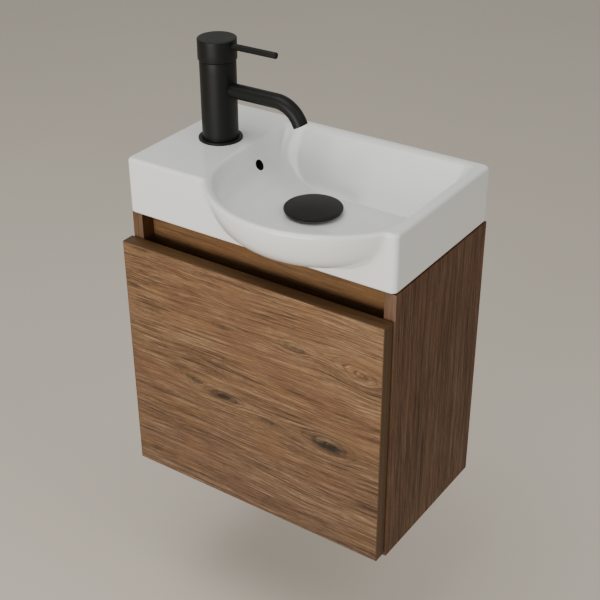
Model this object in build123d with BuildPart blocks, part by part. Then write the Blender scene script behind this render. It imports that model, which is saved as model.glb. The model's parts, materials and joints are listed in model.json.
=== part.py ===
from build123d import *
import math
import os

os.makedirs("parts", exist_ok=True)

# Wall-hung vanity unit with basin.
# Frame: the wall is the plane Y = 0, the front faces -Y, +X is to the right
# as seen from the front, +Z is up.  The origin is the centre of the four
# wall-plate screw holes, on the wall plane.  All lengths are in millimetres.

# ---------------------------------------------------------------- dimensions
half_w = 200.0          # half width of the basin and of the cabinet
basin_d = 231.0         # depth of the flat part of the basin
basin_top = 128.5       # height of the deck
basin_h = 77.0          # height of the basin block
basin_bot = basin_top - basin_h
skirt = 11.0            # ceramic skirt thickness
deck_t = 12.0           # deck thickness at the tap
bowl_x, bowl_y = 54.6, -137.5   # centre of the round front of the bowl
bowl_floor = basin_top - 60.0   # flat floor round the waste

board = 16.0            # carcass board
band = 1.0              # edge band
cab_d = 227.0           # wall to the front edge of the side panels
cab_top = 50.0
cab_bot = -347.0
inner_w = half_w - board

rail_front_y = -205.3   # set-back front rail, behind the finger recess
front_rail_bot = -20.0
rear_rail_y0, rear_rail_y1 = -36.0, -20.0
hang_rail_bot = -16.0
low_rail_top = -271.0

door_x0, door_x1 = -202.3, 197.9
door_z0, door_z1 = -341.8, 15.0
door_back, door_front = -229.0, -248.0

hinge_z = (-70.0, -256.8)
arm_pin = (-174.0, -219.0)        # plan position of the pin in the hinge arm
cup_pin = (-194.3, -235.0)        # plan position of the pin in the hinge cup
cup_c = -182.3                    # cup centre
pin_r = 1.5

tap_x, tap_y = -136.8, -113.2
deck = basin_top
tap_body_r = 24.0
hub_r = 25.6
hub_z0, hub_z1 = deck + 108.8, deck + 135.8
body_top = deck + 108.0
pivot_z = deck + 88.8             # horizontal lift axis of the lever
lever_z = deck + 128.1
spout_z = deck + 69.7
spout_r, spout_ri = 9.8, 8.0
spout_bend_x, spout_bend_r, spout_turn, spout_tip = 90.7, 38.6, 62.0, 6.0

waste_x, waste_y = 22.0, -131.5
waste_r = 20.95                   # outside radius of the waste thread
cap_r = 38.3

plate_x = 140.0                   # wall plate centre from the middle
plate_hole_z = 16.0
plate_hole_r = 3.3

MIN3 = (Align.CENTER, Align.CENTER, Align.MIN)


# ------------------------------------------------------------------- helpers
def block(x0, x1, y0, y1, z0, z1, mode=Mode.ADD):
    """Axis-aligned block between two corners."""
    with Locations(((x0 + x1) / 2, (y0 + y1) / 2, (z0 + z1) / 2)):
        Box(abs(x1 - x0), abs(y1 - y0), abs(z1 - z0), mode=mode)


def rod(origin, direction, radius, length, mode=Mode.ADD):
    """Round bar or bore that starts at origin and runs along direction."""
    with Locations(Plane(origin=origin, z_dir=direction)):
        Cylinder(radius, length, align=MIN3, mode=mode)


def ring(x, y, z0, z1, r_out, r_in):
    """Flat ring or short tube on a vertical axis."""
    rod((x, y, z0), (0, 0, 1), r_out, z1 - z0)
    rod((x, y, z0 - 1), (0, 0, 1), r_in, z1 - z0 + 2, mode=Mode.SUBTRACT)


def save(part, name):
    part.label = name
    export_step(part, f"parts/{name}.step")


def bowl_section(z, xl, xr, yb, yf, r, corners):
    """Closed outline of the bowl at one height: straight back and sides and an
    arched front.  corners: fillets back-left, back-right, front-right, front-left."""
    cy = yf + r
    yl = cy - math.sqrt(r * r - (bowl_x - xl) ** 2)
    yr = cy - math.sqrt(r * r - (xr - bowl_x) ** 2)
    with BuildSketch(Plane.XY.offset(z)) as sk:
        with BuildLine():
            Line((xl, yb), (xr, yb))
            Line((xr, yb), (xr, yr))
            ThreePointArc((xr, yr), (bowl_x, yf), (xl, yl))
            Line((xl, yl), (xl, yb))
        make_face()
        for point, radius in zip(((xl, yb), (xr, yb), (xr, yr), (xl, yl)), corners):
            corner = sk.vertices().sort_by_distance((point[0], point[1], 0))[0]
            fillet(corner, radius)
    return sk.sketch


# ------------------------------------------------------------- ceramic basin
# inside of the bowl, from the deck down to the flat floor round the waste
inner_levels = [
    (0.0, -93.0, 184.0, -14.0, -286.5, 149.0, (30, 14, 9, 14)),
    (-20.0, -88.5, 181.5, -33.0, -283.0, 146.0, (30, 14, 12, 18)),
    (-38.0, -79.0, 177.0, -52.5, -272.0, 138.0, (28, 14, 16, 24)),
    (-50.0, -60.0, 169.0, -67.5, -247.0, 126.0, (24, 14, 20, 26)),
    (-60.0, -18.0, 152.0, -79.0, -166.0, 420.0, (12, 12, 12, 12)),
]
with BuildPart() as bowl_inside:
    loft(sections=[bowl_section(basin_top + z, xl, xr, yb, yf, r, c)
                   for z, xl, xr, yb, yf, r, c in inner_levels])
with BuildPart() as bowl_mouth:
    z, xl, xr, yb, yf, r, c = inner_levels[0]
    extrude(bowl_section(basin_top, xl, xr, yb, yf, r, c), amount=5)

# outside of the bowl shell, seen from below inside the cabinet
outer_levels = [
    (-6.0, -104.0, 192.0, -6.0, -294.0, 159.0, (30, 10, 6, 14)),
    (-30.0, -99.0, 191.0, -26.0, -290.0, 155.0, (30, 12, 10, 18)),
    (-48.0, -89.0, 187.0, -46.0, -276.0, 146.0, (28, 14, 14, 24)),
    (-60.0, -70.0, 179.0, -60.0, -250.0, 134.0, (24, 14, 20, 26)),
    (-69.0, -28.0, 162.0, -69.0, -176.0, 420.0, (14, 14, 14, 14)),
]
with BuildPart() as bowl_outside:
    loft(sections=[bowl_section(basin_top + z, xl, xr, yb, yf, r, c)
                   for z, xl, xr, yb, yf, r, c in outer_levels])

# round front of the bowl that stands out of the flat front
bulge_profile = [(160.2, -4.5), (159.3, -10), (156.8, -20), (152.6, -30), (146.6, -40),
                 (137.6, -50), (123.3, -60), (107.0, -66.5), (88.0, -71.0)]
with BuildPart() as bulge:
    with BuildSketch(Plane(origin=(bowl_x, bowl_y, basin_top), x_dir=(1, 0, 0), z_dir=(0, -1, 0))):
        with BuildLine():
            Line((0, 0), (155.7, 0))
            RadiusArc((155.7, 0), (160.2, -4.5), 4.5)
            Spline(*bulge_profile)
            Line(bulge_profile[-1], (0, -71.0))
            Line((0, -71.0), (0, 0))
        make_face()
    revolve(axis=Axis((bowl_x, bowl_y, 0), (0, 0, 1)))
    block(-130, half_w - 0.5, -310, -165, basin_bot, basin_top + 1, mode=Mode.INTERSECT)

# hollow underside between the skirts and the bowl shell
rib_x0, rib_y0, rib_y1 = -116.0, -130.0, -87.0      # solid rib round the overflow passage
with BuildPart() as underside:
    block(-half_w + skirt, half_w - skirt, -basin_d + skirt, -12.0,
          basin_bot - 1, basin_top - deck_t)
    add(bowl_outside.part, mode=Mode.SUBTRACT)
    block(rib_x0, waste_x, rib_y0, rib_y1, basin_bot - 2, basin_top, mode=Mode.SUBTRACT)
    rod((waste_x, waste_y, basin_bot - 2), (0, 0, 1), 35.0, 60, mode=Mode.SUBTRACT)

with BuildPart() as basin:
    block(-half_w, half_w, -basin_d, 0, basin_bot, basin_top)
    fillet(basin.edges().filter_by(Axis.Z).group_by(Axis.Y)[0], 7)
    fillet(basin.faces().sort_by(Axis.Z)[-1].edges().group_by(Axis.Y)[-1], 2.5)
    fillet(basin.faces().sort_by(Axis.Z)[-1].edges().group_by(Axis.Y)[:-1][0], 4.5)
    add(underside.part, mode=Mode.SUBTRACT)
    add(bulge.part)
    add(bowl_inside.part, mode=Mode.SUBTRACT)
    add(bowl_mouth.part, mode=Mode.SUBTRACT)
    # waste hole and tap hole
    rod((waste_x, waste_y, basin_bot - 5), (0, 0, 1), 23.0, 40, mode=Mode.SUBTRACT)
    rod((tap_x, tap_y, basin_top - 40), (0, 0, 1), 17.5, 60, mode=Mode.SUBTRACT)
    # overflow: round hole in the left wall of the bowl, passage down and under the floor
    rod((-108, -105, basin_top - 36), (0.963, 0, 0.25), 7.0, 45, mode=Mode.SUBTRACT)
    block(-110, -98, -118, -98, basin_top - 71.5, basin_top - 20, mode=Mode.SUBTRACT)
    block(-110, 12, -118, -106, basin_top - 71.5, basin_top - 66.5, mode=Mode.SUBTRACT)
save(basin.part, "basin")

with BuildPart() as basin_seal:
    for s in (-1, 1):
        block(s * 190, s * 197, -222, -3, cab_top, basin_bot)
save(basin_seal.part, "basin_seal")

# ------------------------------------------------------------------- carcass
# dowels and cam fittings: (y, z) on the side panels
dowel_yz = [(-197.3, 36.0), (-197.3, -6.0), (-28.0, 38.0), (-28.0, -4.0), (-28.0, -316.0),
            (-190.0, -339.0), (-60.0, -339.0)]
cam_yz = [(-197.3, 15.0), (-28.0, 17.0), (-28.0, -292.0), (-150.0, -339.0), (-95.0, -339.0)]
dowel_r, dowel_in_side, dowel_in_rail = 4.0, 11.0, 19.0
cam_r, cam_bolt_r, cam_reach = 7.5, 2.9, 24.0


def joint_bores(side, in_side):
    """Blind dowel and bolt bores on the inner face of a side panel, or in the
    ends of the rails and the bottom panel."""
    direction = (side, 0, 0) if in_side else (-side, 0, 0)
    for y, z in dowel_yz:
        rod((side * inner_w, y, z), direction, dowel_r,
            dowel_in_side + 0.5 if in_side else dowel_in_rail + 0.5, mode=Mode.SUBTRACT)
    for y, z in cam_yz:
        rod((side * inner_w, y, z), direction, cam_bolt_r,
            11.5 if in_side else cam_reach + 1.0, mode=Mode.SUBTRACT)


with BuildPart() as side_panel_left:
    block(-half_w, -inner_w, -cab_d + band, 0, cab_bot, cab_top)
    joint_bores(-1, True)
    for hz in hinge_z:
        for dz in (-16, 16):
            rod((-inner_w, -190, hz + dz), (-1, 0, 0), 2.5, 11.5, mode=Mode.SUBTRACT)
save(side_panel_left.part, "side_panel_left")

with BuildPart() as side_panel_right:
    block(inner_w, half_w, -cab_d + band, 0, cab_bot, cab_top)
    joint_bores(1, True)
save(side_panel_right.part, "side_panel_right")

with BuildPart() as panel_edge_bands:
    for s in (-1, 1):
        block(s * inner_w, s * half_w, -cab_d, -cab_d + band, cab_bot, cab_top)
    block(-inner_w, inner_w, -cab_d, -cab_d + band, cab_bot, cab_bot + board)
save(panel_edge_bands.part, "panel_edge_bands")

with BuildPart() as bottom_panel:
    block(-inner_w, inner_w, -cab_d + band, -2, cab_bot, cab_bot + board)
    for s in (-1, 1):
        joint_bores(s, False)
        for y in (-150.0, -95.0):
            rod((s * (inner_w - cam_reach), y, cab_bot), (0, 0, 1), cam_r, 12.8, mode=Mode.SUBTRACT)
save(bottom_panel.part, "bottom_panel")

with BuildPart() as front_rail:
    block(-inner_w, inner_w, rail_front_y, rail_front_y + board, front_rail_bot, cab_top)
    for s in (-1, 1):
        joint_bores(s, False)
        rod((s * (inner_w - cam_reach), rail_front_y + board, 15), (0, -1, 0), cam_r, 12.8,
            mode=Mode.SUBTRACT)
save(front_rail.part, "front_rail")

with BuildPart() as hanging_rail:
    block(-inner_w, inner_w, rear_rail_y0, rear_rail_y1, hang_rail_bot, cab_top)
    for s in (-1, 1):
        joint_bores(s, False)
        rod((s * (inner_w - cam_reach), rear_rail_y0, 17), (0, 1, 0), cam_r, 12.8,
            mode=Mode.SUBTRACT)
        for x in (-8, 8):
            rod((s * plate_x + x, rear_rail_y1, -6), (0, -1, 0), 1.8, 13.2, mode=Mode.SUBTRACT)
save(hanging_rail.part, "hanging_rail")

with BuildPart() as rear_lower_rail:
    block(-inner_w, inner_w, rear_rail_y0, rear_rail_y1, cab_bot + board, low_rail_top)
    for s in (-1, 1):
        joint_bores(s, False)
        rod((s * (inner_w - cam_reach), rear_rail_y0, -292), (0, 1, 0), cam_r, 12.8,
            mode=Mode.SUBTRACT)
save(rear_lower_rail.part, "rear_lower_rail")

with BuildPart() as dowels:
    for s in (-1, 1):
        for y, z in dowel_yz:
            rod((s * (inner_w + dowel_in_side), y, z), (-s, 0, 0), dowel_r,
                dowel_in_side + dowel_in_rail)
save(dowels.part, "dowels")

with BuildPart() as cam_bolts:
    for s in (-1, 1):
        for y, z in cam_yz:
            rod((s * (inner_w + 11), y, z), (-s, 0, 0), cam_bolt_r, 11 + cam_reach - 4.5)
save(cam_bolts.part, "cam_bolts")

with BuildPart() as cam_locks:
    for s in (-1, 1):
        x = s * (inner_w - cam_reach)
        faces = [((x, rail_front_y + board, 15), (0, -1, 0)), ((x, rear_rail_y0, 17), (0, 1, 0)),
                 ((x, rear_rail_y0, -292), (0, 1, 0)), ((x, -150, cab_bot), (0, 0, 1)),
                 ((x, -95, cab_bot), (0, 0, 1))]
        for origin, direction in faces:
            rod(origin, direction, cam_r, 12.5)
            # cross slot for the screwdriver
            with Locations(Plane(origin=origin, z_dir=direction)):
                Box(8, 1.6, 3, mode=Mode.SUBTRACT)
                Box(1.6, 8, 3, mode=Mode.SUBTRACT)
        # bore that takes the head of each bolt
        for y, z in cam_yz:
            rod((s * inner_w, y, z), (-s, 0, 0), cam_bolt_r + 0.1, cam_reach - 4.3,
                mode=Mode.SUBTRACT)
save(cam_locks.part, "cam_locks")

# --------------------------------------------------------------- wall fixing
with BuildPart() as wall_plates:
    for s in (-1, 1):
        x0, x1 = s * plate_x - 20, s * plate_x + 20
        block(x0, x1, -3, 0, -30, 30)
        block(x0, x1, -9.5, 0, 27, 30)
        block(x0, x1, -9.5, -6.5, 27, 38)
        for z in (-plate_hole_z, plate_hole_z):
            rod((s * plate_x, 5, z), (0, -1, 0), plate_hole_r, 12, mode=Mode.SUBTRACT)
save(wall_plates.part, "wall_plates")

with BuildPart() as hanger_hooks:
    for s in (-1, 1):
        x0, x1 = s * plate_x - 16, s * plate_x + 16
        block(x0, x1, -20, -17.5, -14, 40.5)
        block(x0, x1, -20, -3.6, 38, 40.5)
        block(x0, x1, -6.0, -3.6, 31, 40.5)
        for x in (-8, 8):
            rod((s * plate_x + x, -10, -6), (0, -1, 0), 1.9, 15, mode=Mode.SUBTRACT)
save(hanger_hooks.part, "hanger_hooks")

with BuildPart() as hanger_screws:
    for s in (-1, 1):
        for x in (-8, 8):
            rod((s * plate_x + x, -17.5, -6), (0, 1, 0), 3.6, 2.2)
            rod((s * plate_x + x, -17.5, -6), (0, -1, 0), 1.8, 15.5)
            with Locations((s * plate_x + x, -15.3, -6)):
                Box(4, 2, 0.9, mode=Mode.SUBTRACT)
                Box(0.9, 2, 4, mode=Mode.SUBTRACT)
save(hanger_screws.part, "hanger_screws")

# ---------------------------------------------------------------------- door
with BuildPart() as door_panel:
    block(door_x0 + band, door_x1 - band, door_front, door_back, door_z0 + band, door_z1 - band)
    for hz in hinge_z:
        rod((cup_c, door_back, hz), (0, -1, 0), 17.6, 11.7, mode=Mode.SUBTRACT)
        for dz in (-22.5, 22.5):
            rod((cup_c + 9.5, door_back, hz + dz), (0, -1, 0), 1.8, 12, mode=Mode.SUBTRACT)
save(door_panel.part, "door_panel")

with BuildPart() as door_edge_bands:
    for x0, x1 in ((door_x0, door_x0 + band), (door_x1 - band, door_x1)):
        block(x0, x1, door_front, door_back, door_z0, door_z1)
    for z0, z1 in ((door_z0, door_z0 + band), (door_z1 - band, door_z1)):
        block(door_x0 + band, door_x1 - band, door_front, door_back, z0, z1)
save(door_edge_bands.part, "door_edge_bands")

with BuildPart() as door_bumpers:
    for z in (door_z0 + 22, door_z1 - 22):
        rod((door_x1 - 8, door_back, z), (0, 1, 0), 4.0, 1.5)
    fillet(door_bumpers.faces().filter_by(Axis.Y).group_by(Axis.Y)[-1].edges(), 0.7)
save(door_bumpers.part, "door_bumpers")

# --------------------------------------------------- concealed hinges (pair)
with BuildPart() as hinge_cups:
    for hz in hinge_z:
        rod((cup_c, door_back, hz), (0, -1, 0), 17.5, 11.5)
        rod((cup_c, door_back, hz), (0, 1, 0), 19.3, 1.1)
        block(cup_c + 2, cup_c + 15.5, door_back, door_back + 1.1, hz - 28, hz + 28)
        rod((cup_c, door_back + 2, hz), (0, -1, 0), 16.0, 12.3, mode=Mode.SUBTRACT)
        for dz in (-22.5, 22.5):
            rod((cup_c + 9.5, door_back + 3, hz + dz), (0, -1, 0), 1.9, 6, mode=Mode.SUBTRACT)
        for s in (-1, 1):
            # ears that hold the ends of the pin
            block(cup_pin[0] - 2.0, cup_pin[0] + 2.0, cup_pin[1] - 2.3, cup_pin[1] + 2.3,
                  hz + s * 5.5, hz + s * 10.2)
        rod((cup_pin[0], cup_pin[1], hz - 9.6), (0, 0, 1), pin_r, 19.2, mode=Mode.SUBTRACT)
save(hinge_cups.part, "hinge_cups")

with BuildPart() as hinge_cup_screws:
    for hz in hinge_z:
        for dz in (-22.5, 22.5):
            rod((cup_c + 9.5, door_back + 1.1, hz + dz), (0, 1, 0), 3.3, 0.5)
            rod((cup_c + 9.5, door_back + 1.1, hz + dz), (0, -1, 0), 1.8, 12.5)
save(hinge_cup_screws.part, "hinge_cup_screws")

with BuildPart() as hinge_cup_pins:
    for hz in hinge_z:
        rod((cup_pin[0], cup_pin[1], hz - 9.5), (0, 0, 1), pin_r, 19.0)
save(hinge_cup_pins.part, "hinge_cup_pins")

link_path = [cup_pin, (-180.3, -236.6), (-175.3, -233.0), arm_pin]
with BuildPart() as hinge_links:
    for hz in hinge_z:
        with BuildSketch(Plane.XY.offset(hz - 4.5)) as link_sk:
            with BuildLine():
                Polyline(*link_path)
            trace(line_width=2.3)
            for p in link_path[1:3]:
                with Locations(p):
                    Circle(1.15)
            for p in (cup_pin, arm_pin):
                with Locations(p):
                    Circle(2.55)
            for p in (cup_pin, arm_pin):
                with Locations(p):
                    Circle(pin_r + 0.05, mode=Mode.SUBTRACT)
        extrude(amount=9.0)
save(hinge_links.part, "hinge_links")

with BuildPart() as hinge_arms:
    for hz in hinge_z:
        for s in (-1, 1):
            block(-181, -169, -222.5, -165, hz + s * 5.0, hz + s * 6.2)
        block(-170.2, -169, -214.0, -165, hz - 6.2, hz + 6.2)
        rod((arm_pin[0], arm_pin[1], hz - 8), (0, 0, 1), pin_r, 16, mode=Mode.SUBTRACT)
        rod((-165, -180, hz), (-1, 0, 0), 2.1, 8, mode=Mode.SUBTRACT)
save(hinge_arms.part, "hinge_arms")

with BuildPart() as hinge_arm_pins:
    for hz in hinge_z:
        rod((arm_pin[0], arm_pin[1], hz - 6.8), (0, 0, 1), pin_r, 13.6)
save(hinge_arm_pins.part, "hinge_arm_pins")

with BuildPart() as hinge_plates:
    for hz in hinge_z:
        block(-184, -181.6, -203, -166, hz - 12, hz + 12)
        block(-184, -181.6, -198, -182, hz - 24, hz + 24)
        block(-184, -174, -198, -168, hz - 4.7, hz + 4.7)
        for dz in (-16, 16):
            rod((-170, -190, hz + dz), (-1, 0, 0), 2.6, 20, mode=Mode.SUBTRACT)
        rod((-160, -180, hz), (-1, 0, 0), 2.0, 22, mode=Mode.SUBTRACT)
save(hinge_plates.part, "hinge_plates")

with BuildPart() as hinge_plate_screws:
    for hz in hinge_z:
        for dz in (-16, 16):
            rod((-181.6, -190, hz + dz), (1, 0, 0), 4.2, 1.6)
            rod((-181.6, -190, hz + dz), (-1, 0, 0), 2.5, 13.2)
            with Locations((-180.0, -190, hz + dz)):
                Box(2, 4.5, 1.0, mode=Mode.SUBTRACT)
                Box(2, 1.0, 4.5, mode=Mode.SUBTRACT)
save(hinge_plate_screws.part, "hinge_plate_screws")

with BuildPart() as hinge_arm_screws:
    for hz in hinge_z:
        rod((-169, -180, hz), (1, 0, 0), 3.4, 1.6)
        rod((-169, -180, hz), (-1, 0, 0), 1.95, 12)
        with Locations((-167.4, -180, hz)):
            Box(2, 4.0, 0.9, mode=Mode.SUBTRACT)
            Box(2, 0.9, 4.0, mode=Mode.SUBTRACT)
save(hinge_arm_screws.part, "hinge_arm_screws")

# ----------------------------------------------------------------------- tap
with BuildPart() as tap_base_gasket:
    ring(tap_x, tap_y, deck, deck + 0.8, 23.4, 17.8)
save(tap_base_gasket.part, "tap_base_gasket")

with BuildPart() as tap_base_ring:
    ring(tap_x, tap_y, deck, deck + 3.2, 29.4, tap_body_r + 0.04)
    fillet(tap_base_ring.faces().sort_by(Axis.Z)[-1].edges().sort_by(SortBy.RADIUS)[-1], 0.9)
save(tap_base_ring.part, "tap_base_ring")

with BuildPart() as tap_body:
    rod((tap_x, tap_y, deck + 0.8), (0, 0, 1), tap_body_r, body_top - deck - 0.8)
    chamfer(tap_body.faces().sort_by(Axis.Z)[-1].edges(), 0.6)
    rod((tap_x, tap_y, deck - 10), (0, 0, 1), 16.5, 12)
    # seat of the cartridge
    rod((tap_x, tap_y, deck + 76), (0, 0, 1), 18.0, 40, mode=Mode.SUBTRACT)
    # hot and cold ports: hose thread below, narrow passage above
    for y in (-8, 8):
        rod((tap_x - 4, tap_y + y, deck - 12), (0, 0, 1), 4.5, 18, mode=Mode.SUBTRACT)
        rod((tap_x - 4, tap_y + y, deck), (0, 0, 1), 4.0, 80, mode=Mode.SUBTRACT)
    # outlet passage from the cartridge seat to the spout
    rod((tap_x + 9, tap_y, spout_z), (0, 0, 1), 3.5, 10, mode=Mode.SUBTRACT)
    rod((tap_x + 5, tap_y, spout_z), (1, 0, 0), 6.5, 30, mode=Mode.SUBTRACT)
    rod((tap_x + 19, tap_y, spout_z), (1, 0, 0), spout_r + 0.03, 10, mode=Mode.SUBTRACT)
    # hole for the fixing stud
    rod((tap_x + 9, tap_y, deck - 12), (0, 0, 1), 3.95, 20, mode=Mode.SUBTRACT)
save(tap_body.part, "tap_body")

turn = math.radians(spout_turn)
p0 = (tap_x + 19.2, tap_y, spout_z)
p1 = (tap_x + spout_bend_x, tap_y, spout_z)
pm = (tap_x + spout_bend_x + spout_bend_r * math.sin(turn / 2), tap_y,
      spout_z - spout_bend_r * (1 - math.cos(turn / 2)))
p2 = (tap_x + spout_bend_x + spout_bend_r * math.sin(turn), tap_y,
      spout_z - spout_bend_r * (1 - math.cos(turn)))
tip_dir = (math.cos(turn), 0, -math.sin(turn))
p3 = tuple(a + spout_tip * b for a, b in zip(p2, tip_dir))
with BuildPart() as tap_spout:
    with BuildLine():
        Line(p0, p1)
        ThreePointArc(p1, pm, p2)
        Line(p2, p3)
    with BuildSketch(Plane(origin=p0, x_dir=(0, 1, 0), z_dir=(1, 0, 0))):
        Circle(spout_r)
        Circle(spout_ri, mode=Mode.SUBTRACT)
    sweep()
    fillet(tap_spout.faces().sort_by(Axis.X)[-1].edges().sort_by(SortBy.RADIUS)[-1:], 0.5)
save(tap_spout.part, "tap_spout")

# aerator insert, 1 mm inside the spout end, with a ring of small outlets
p4 = tuple(a - 1.0 * b for a, b in zip(p3, tip_dir))
back_dir = tuple(-b for b in tip_dir)
with BuildPart() as aerator:
    rod(p4, back_dir, spout_ri - 0.05, 5.0)
    with BuildSketch(Plane(origin=p4, x_dir=(0, 1, 0), z_dir=back_dir)):
        Circle(0.75)
        with PolarLocations(2.7, 6):
            Circle(0.75)
        with PolarLocations(5.2, 12):
            Circle(0.75)
    extrude(amount=6, mode=Mode.SUBTRACT)
save(aerator.part, "aerator")

with BuildPart() as cartridge_housing:
    rod((tap_x, tap_y, deck + 76.1), (0, 0, 1), 17.9, 23.9)
    rod((tap_x, tap_y, deck + 80), (0, 0, 1), 14.0, 25, mode=Mode.SUBTRACT)
    for dx, dy in ((-4, -8), (-4, 8), (9, 0)):
        rod((tap_x + dx, tap_y + dy, deck + 70), (0, 0, 1), 2.6, 12, mode=Mode.SUBTRACT)
save(cartridge_housing.part, "cartridge_housing")

with BuildPart() as cartridge_nut:
    ring(tap_x, tap_y, deck + 100, deck + 106, 17.9, 12.6)
save(cartridge_nut.part, "cartridge_nut")

with BuildPart() as cartridge_carrier:
    rod((tap_x, tap_y, deck + 81), (0, 0, 1), 13.6, 16)
    block(tap_x - 9, tap_x + 9, tap_y - 4.4, tap_y + 4.4, deck + 80, deck + 98, mode=Mode.SUBTRACT)
    rod((tap_x, tap_y - 15, pivot_z), (0, 1, 0), pin_r, 30, mode=Mode.SUBTRACT)
save(cartridge_carrier.part, "cartridge_carrier")

with BuildPart() as lift_pin:
    rod((tap_x, tap_y - 13, pivot_z), (0, 1, 0), pin_r, 26)
save(lift_pin.part, "lift_pin")

with BuildPart() as lever_spindle:
    block(tap_x - 4, tap_x + 4, tap_y - 4, tap_y + 4, deck + 82.4, deck + 124)
    rod((tap_x, tap_y - 6, pivot_z), (0, 1, 0), pin_r + 0.05, 12, mode=Mode.SUBTRACT)
save(lever_spindle.part, "lever_spindle")

with BuildPart() as lever_hub:
    rod((tap_x, tap_y, hub_z0), (0, 0, 1), hub_r, hub_z1 - hub_z0)
    fillet(lever_hub.faces().sort_by(Axis.Z)[-1].edges(), 1.4)
    # hollow that clears the body and the nut when the lever is lifted
    with BuildSketch(Plane(origin=(tap_x, tap_y, 0), x_dir=(1, 0, 0), z_dir=(0, -1, 0))):
        with BuildLine():
            Polyline((8.5, hub_z0 + 4.2), (8.5, hub_z0 + 12.2), (14, hub_z0 + 12.2),
                     (24.4, hub_z0 + 5.2), (24.4, hub_z0 - 1), (0, hub_z0 - 1),
                     (0, hub_z0 + 4.2), (8.5, hub_z0 + 4.2))
        make_face()
    revolve(axis=Axis((tap_x, tap_y, 0), (0, 0, 1)), mode=Mode.SUBTRACT)
    block(tap_x - 4, tap_x + 4, tap_y - 4, tap_y + 4, hub_z0, deck + 124, mode=Mode.SUBTRACT)
    rod((tap_x + 13, tap_y, lever_z), (1, 0, 0), 4.12, 20, mode=Mode.SUBTRACT)
    rod((tap_x - 4, tap_y, deck + 122.3), (-1, 0, 0), 1.62, 30, mode=Mode.SUBTRACT)
    rod((tap_x - 11, tap_y, deck + 122.3), (-1, 0, 0), 2.5, 30, mode=Mode.SUBTRACT)
save(lever_hub.part, "lever_hub")

with BuildPart() as lever_rod:
    rod((tap_x + 13.2, tap_y, lever_z), (1, 0, 0), 4.1, 78.8)
    chamfer(lever_rod.faces().sort_by(Axis.X)[-1].edges(), 0.5)
save(lever_rod.part, "lever_rod")

with BuildPart() as hub_grub_screw:
    rod((tap_x - 4.0, tap_y, deck + 122.3), (-1, 0, 0), 1.6, 7.5)
    rod((tap_x - 11.2, tap_y, deck + 122.3), (-1, 0, 0), 2.45, 8)
    with BuildSketch(Plane(origin=(tap_x - 19.2, tap_y, deck + 122.3), z_dir=(1, 0, 0))):
        RegularPolygon(1.25, 6, major_radius=False)
    extrude(amount=3, mode=Mode.SUBTRACT)
save(hub_grub_screw.part, "hub_grub_screw")


def horseshoe(z0, z1):
    """Horseshoe washer that leaves room for the two hoses."""
    rod((tap_x, tap_y, z0), (0, 0, 1), 19.5, z1 - z0)
    block(tap_x - 25, tap_x + 2.5, tap_y - 13.2, tap_y + 13.2, z0 - 1, z1 + 1, mode=Mode.SUBTRACT)
    rod((tap_x + 9, tap_y, z0 - 1), (0, 0, 1), 3.95, z1 - z0 + 2, mode=Mode.SUBTRACT)


with BuildPart() as tap_rubber_washer:
    horseshoe(deck - deck_t - 2.5, deck - deck_t)
save(tap_rubber_washer.part, "tap_rubber_washer")

with BuildPart() as tap_clamp_plate:
    horseshoe(deck - deck_t - 5.0, deck - deck_t - 2.5)
save(tap_clamp_plate.part, "tap_clamp_plate")

with BuildPart() as tap_stud:
    rod((tap_x + 9, tap_y, deck - 55), (0, 0, 1), 3.9, 62)
    chamfer(tap_stud.faces().sort_by(Axis.Z)[0].edges(), 0.8)
save(tap_stud.part, "tap_stud")

with BuildPart() as tap_nut:
    with BuildSketch(Plane.XY.offset(deck - deck_t - 15.0)):
        with Locations((tap_x + 9, tap_y)):
            RegularPolygon(6.5, 6, major_radius=False)
            Circle(3.95, mode=Mode.SUBTRACT)
    extrude(amount=10)
save(tap_nut.part, "tap_nut")

# --------------------------------------------------------------------- waste
flange_z = bowl_floor + 1.0
tail_z = flange_z - 78.0
with BuildPart() as waste_flange_seal:
    ring(waste_x, waste_y, bowl_floor, flange_z, 29.5, 21.5)
save(waste_flange_seal.part, "waste_flange_seal")

with BuildPart() as waste_body:
    rod((waste_x, waste_y, flange_z), (0, 0, 1), 31.5, 2.4)
    chamfer(waste_body.faces().sort_by(Axis.Z)[-1].edges(), 1.2)
    rod((waste_x, waste_y, tail_z), (0, 0, 1), waste_r, 78)
    rod((waste_x, waste_y, tail_z - 1), (0, 0, 1), 18.6, 90, mode=Mode.SUBTRACT)
    rod((waste_x, waste_y, flange_z + 1.2), (0, 0, 1), 24.0, 4, mode=Mode.SUBTRACT)
    # thread relief under the nut; the free tail below it takes the trap
    with Locations((waste_x, waste_y, basin_bot - 14.0)):
        Cylinder(waste_r + 5, 1.5, align=(Align.CENTER, Align.CENTER, Align.MAX), mode=Mode.SUBTRACT)
        Cylinder(19.9, 1.5, align=(Align.CENTER, Align.CENTER, Align.MAX))
        Cylinder(18.6, 1.5, align=(Align.CENTER, Align.CENTER, Align.MAX), mode=Mode.SUBTRACT)
    # overflow slots, level with the passage in the ceramic
    block(waste_x - 25, waste_x + 25, waste_y + 13, waste_y + 20,
          bowl_floor - 12, bowl_floor - 6, mode=Mode.SUBTRACT)
    block(waste_x - 25, waste_x + 25, waste_y - 20, waste_y - 13,
          bowl_floor - 12, bowl_floor - 6, mode=Mode.SUBTRACT)
save(waste_body.part, "waste_body")

with BuildPart() as waste_lower_gasket:
    ring(waste_x, waste_y, basin_bot - 4, basin_bot, 28.5, waste_r + 0.02)
save(waste_lower_gasket.part, "waste_lower_gasket")

with BuildPart() as waste_back_nut:
    with BuildSketch(Plane.XY.offset(basin_bot - 13)):
        with Locations((waste_x, waste_y)):
            RegularPolygon(27, 8, major_radius=False)
            Circle(waste_r + 0.02, mode=Mode.SUBTRACT)
    extrude(amount=9)
save(waste_back_nut.part, "waste_back_nut")

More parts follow.
